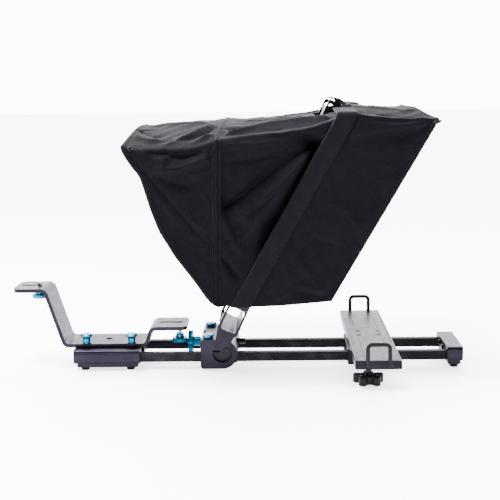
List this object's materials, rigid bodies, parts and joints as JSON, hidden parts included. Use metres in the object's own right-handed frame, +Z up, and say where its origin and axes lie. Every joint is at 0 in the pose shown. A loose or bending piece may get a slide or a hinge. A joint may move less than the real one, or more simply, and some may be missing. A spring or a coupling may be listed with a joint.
{
  "type": "teleprompter",
  "caption": "Rail teleprompter: camera bracket, tilting mast with beam-splitter glass under a black fabric hood, and a sliding tablet tray with end stops.",
  "frame": {"origin": "middle of the overall length and width, on the plane that the rubber feet stand on", "axes": "+X along the rails from the camera to the talent, +Z up, +Y to the side away from the star knob"},
  "size_m": [0.6366, 0.3166, 0.3799],
  "materials": {
    "carbon": "satin woven carbon fibre tube",
    "dark_anodised": "bead-blasted, gunmetal anodised",
    "black_anodised": "black anodised",
    "blue_anodised": "bright blue anodised",
    "steel": "brushed",
    "black_screw": "black oxide",
    "black_rod": "satin black powder coat",
    "black_plastic": "moulded, fine texture",
    "rubber": "matt",
    "liner": "low-friction polymer",
    "glass": "half-silvered, clear",
    "hood_fabric": "matt woven blackout nylon"
  },
  "bodies": {
    "base": {"rail_near": "carbon", "rail_far": "carbon", "camera_end_block": "dark_anodised", "front_end_cap": "dark_anodised", "camera_end_base": "dark_anodised", "front_end_base": "dark_anodised", "rubber_feet": "rubber", "clamp_screws": "black_screw", "camera_bracket": "dark_anodised"},
    "bracket_screw_rear": {"bracket_screw_rear": "blue_anodised"},
    "bracket_screw_front": {"bracket_screw_front": "blue_anodised"},
    "high_camera_slider": {"high_camera_washer": "steel"},
    "high_camera_screw": {"high_camera_knob": "blue_anodised", "high_camera_stud": "steel"},
    "low_camera_slider": {"low_camera_washer": "steel"},
    "low_camera_screw": {"low_camera_knob": "blue_anodised", "low_camera_stud": "steel"},
    "mast_carriage": {"carriage_block_near": "dark_anodised", "carriage_block_far": "dark_anodised", "carriage_bridge": "dark_anodised", "carriage_core": "dark_anodised", "slide_liners": "liner", "lock_stud": "black_screw", "pivot_pins": "steel", "pivot_spacers": "steel"},
    "carriage_screw_near": {"carriage_screw_near": "blue_anodised"},
    "carriage_screw_far": {"carriage_screw_far": "blue_anodised"},
    "lock_wheel": {"lock_wheel": "blue_anodised"},
    "mast": {"mast_arm_near": "dark_anodised", "mast_arm_far": "dark_anodised", "mast_foot_plate": "dark_anodised", "mast_top_spacer": "dark_anodised", "mast_spacer": "dark_anodised", "mast_screws": "black_screw", "beamsplitter_glass": "glass", "glass_channel_bottom": "black_anodised", "glass_channel_top": "black_anodised", "glass_side_channels": "black_anodised", "glass_brackets": "black_anodised", "rear_hood": "hood_fabric", "front_shade": "hood_fabric", "hood_hoop": "steel", "shade_rods": "black_plastic", "top_strap": "hood_fabric"},
    "tablet_carriage": {"tray_saddle": "dark_anodised", "saddle_clamps": "dark_anodised", "tablet_tray": "dark_anodised", "tray_screws": "black_screw", "far_end_cap": "black_anodised", "far_cap_screws": "black_screw", "far_stop": "black_rod"},
    "near_stop": {"slide_bar": "dark_anodised", "near_end_cap": "black_anodised", "near_cap_screws": "black_screw", "near_stop": "black_rod"},
    "star_knob": {"star_knob": "black_plastic", "star_washer": "steel", "star_stud": "steel"}
  },
  "joints": [
    {"name": "mast_carriage_slide", "type": "slide", "parent": "base", "child": "mast_carriage", "axis": [1, 0, 0], "range_m": [0, 0.09]},
    {"name": "mast_tilt", "type": "hinge", "parent": "mast_carriage", "child": "mast", "pos_m": [-0.01425, 0, 0.0286], "axis": [0, 1, 0], "range_deg": [-15, 10]},
    {"name": "lock_wheel_turn", "type": "hinge", "parent": "mast_carriage", "child": "lock_wheel", "pos_m": [-0.068, 0, 0.0308], "axis": [1, 0, 0], "range_deg": [-180, 180]},
    {"name": "carriage_screw_near_turn", "type": "hinge", "parent": "mast_carriage", "child": "carriage_screw_near", "pos_m": [-0.0407, -0.0365, 0.045], "axis": [0, 0, 1], "range_deg": [-180, 180]},
    {"name": "carriage_screw_far_turn", "type": "hinge", "parent": "mast_carriage", "child": "carriage_screw_far", "pos_m": [-0.0407, 0.0365, 0.045], "axis": [0, 0, 1], "range_deg": [-180, 180]},
    {"name": "bracket_screw_rear_turn", "type": "hinge", "parent": "base", "child": "bracket_screw_rear", "pos_m": [-0.216, -0.024, 0.0357], "axis": [0, 0, 1], "range_deg": [-180, 180]},
    {"name": "bracket_screw_front_turn", "type": "hinge", "parent": "base", "child": "bracket_screw_front", "pos_m": [-0.1513, -0.024, 0.0357], "axis": [0, 0, 1], "range_deg": [-180, 180]},
    {"name": "high_camera_slide", "type": "slide", "parent": "base", "child": "high_camera_slider", "axis": [1, 0, 0], "range_m": [-0.0215, 0]},
    {"name": "high_camera_turn", "type": "hinge", "parent": "high_camera_slider", "child": "high_camera_screw", "pos_m": [-0.2856, 0, 0.108], "axis": [0, 0, 1], "range_deg": [-180, 180]},
    {"name": "low_camera_slide", "type": "slide", "parent": "base", "child": "low_camera_slider", "axis": [1, 0, 0], "range_m": [-0.025, 0]},
    {"name": "low_camera_turn", "type": "hinge", "parent": "low_camera_slider", "child": "low_camera_screw", "pos_m": [-0.084, 0, 0.045], "axis": [0, 0, 1], "range_deg": [-180, 180]},
    {"name": "tablet_slide", "type": "slide", "parent": "base", "child": "tablet_carriage", "axis": [1, 0, 0], "range_m": [-0.05, 0.06]},
    {"name": "near_stop_slide", "type": "slide", "parent": "tablet_carriage", "child": "near_stop", "axis": [0, -1, 0], "range_m": [0, 0.06]},
    {"name": "star_knob_turn", "type": "hinge", "parent": "tablet_carriage", "child": "star_knob", "pos_m": [0.17825, -0.128, 0.01], "axis": [0, 0, 1], "range_deg": [-180, 180]}
  ]
}
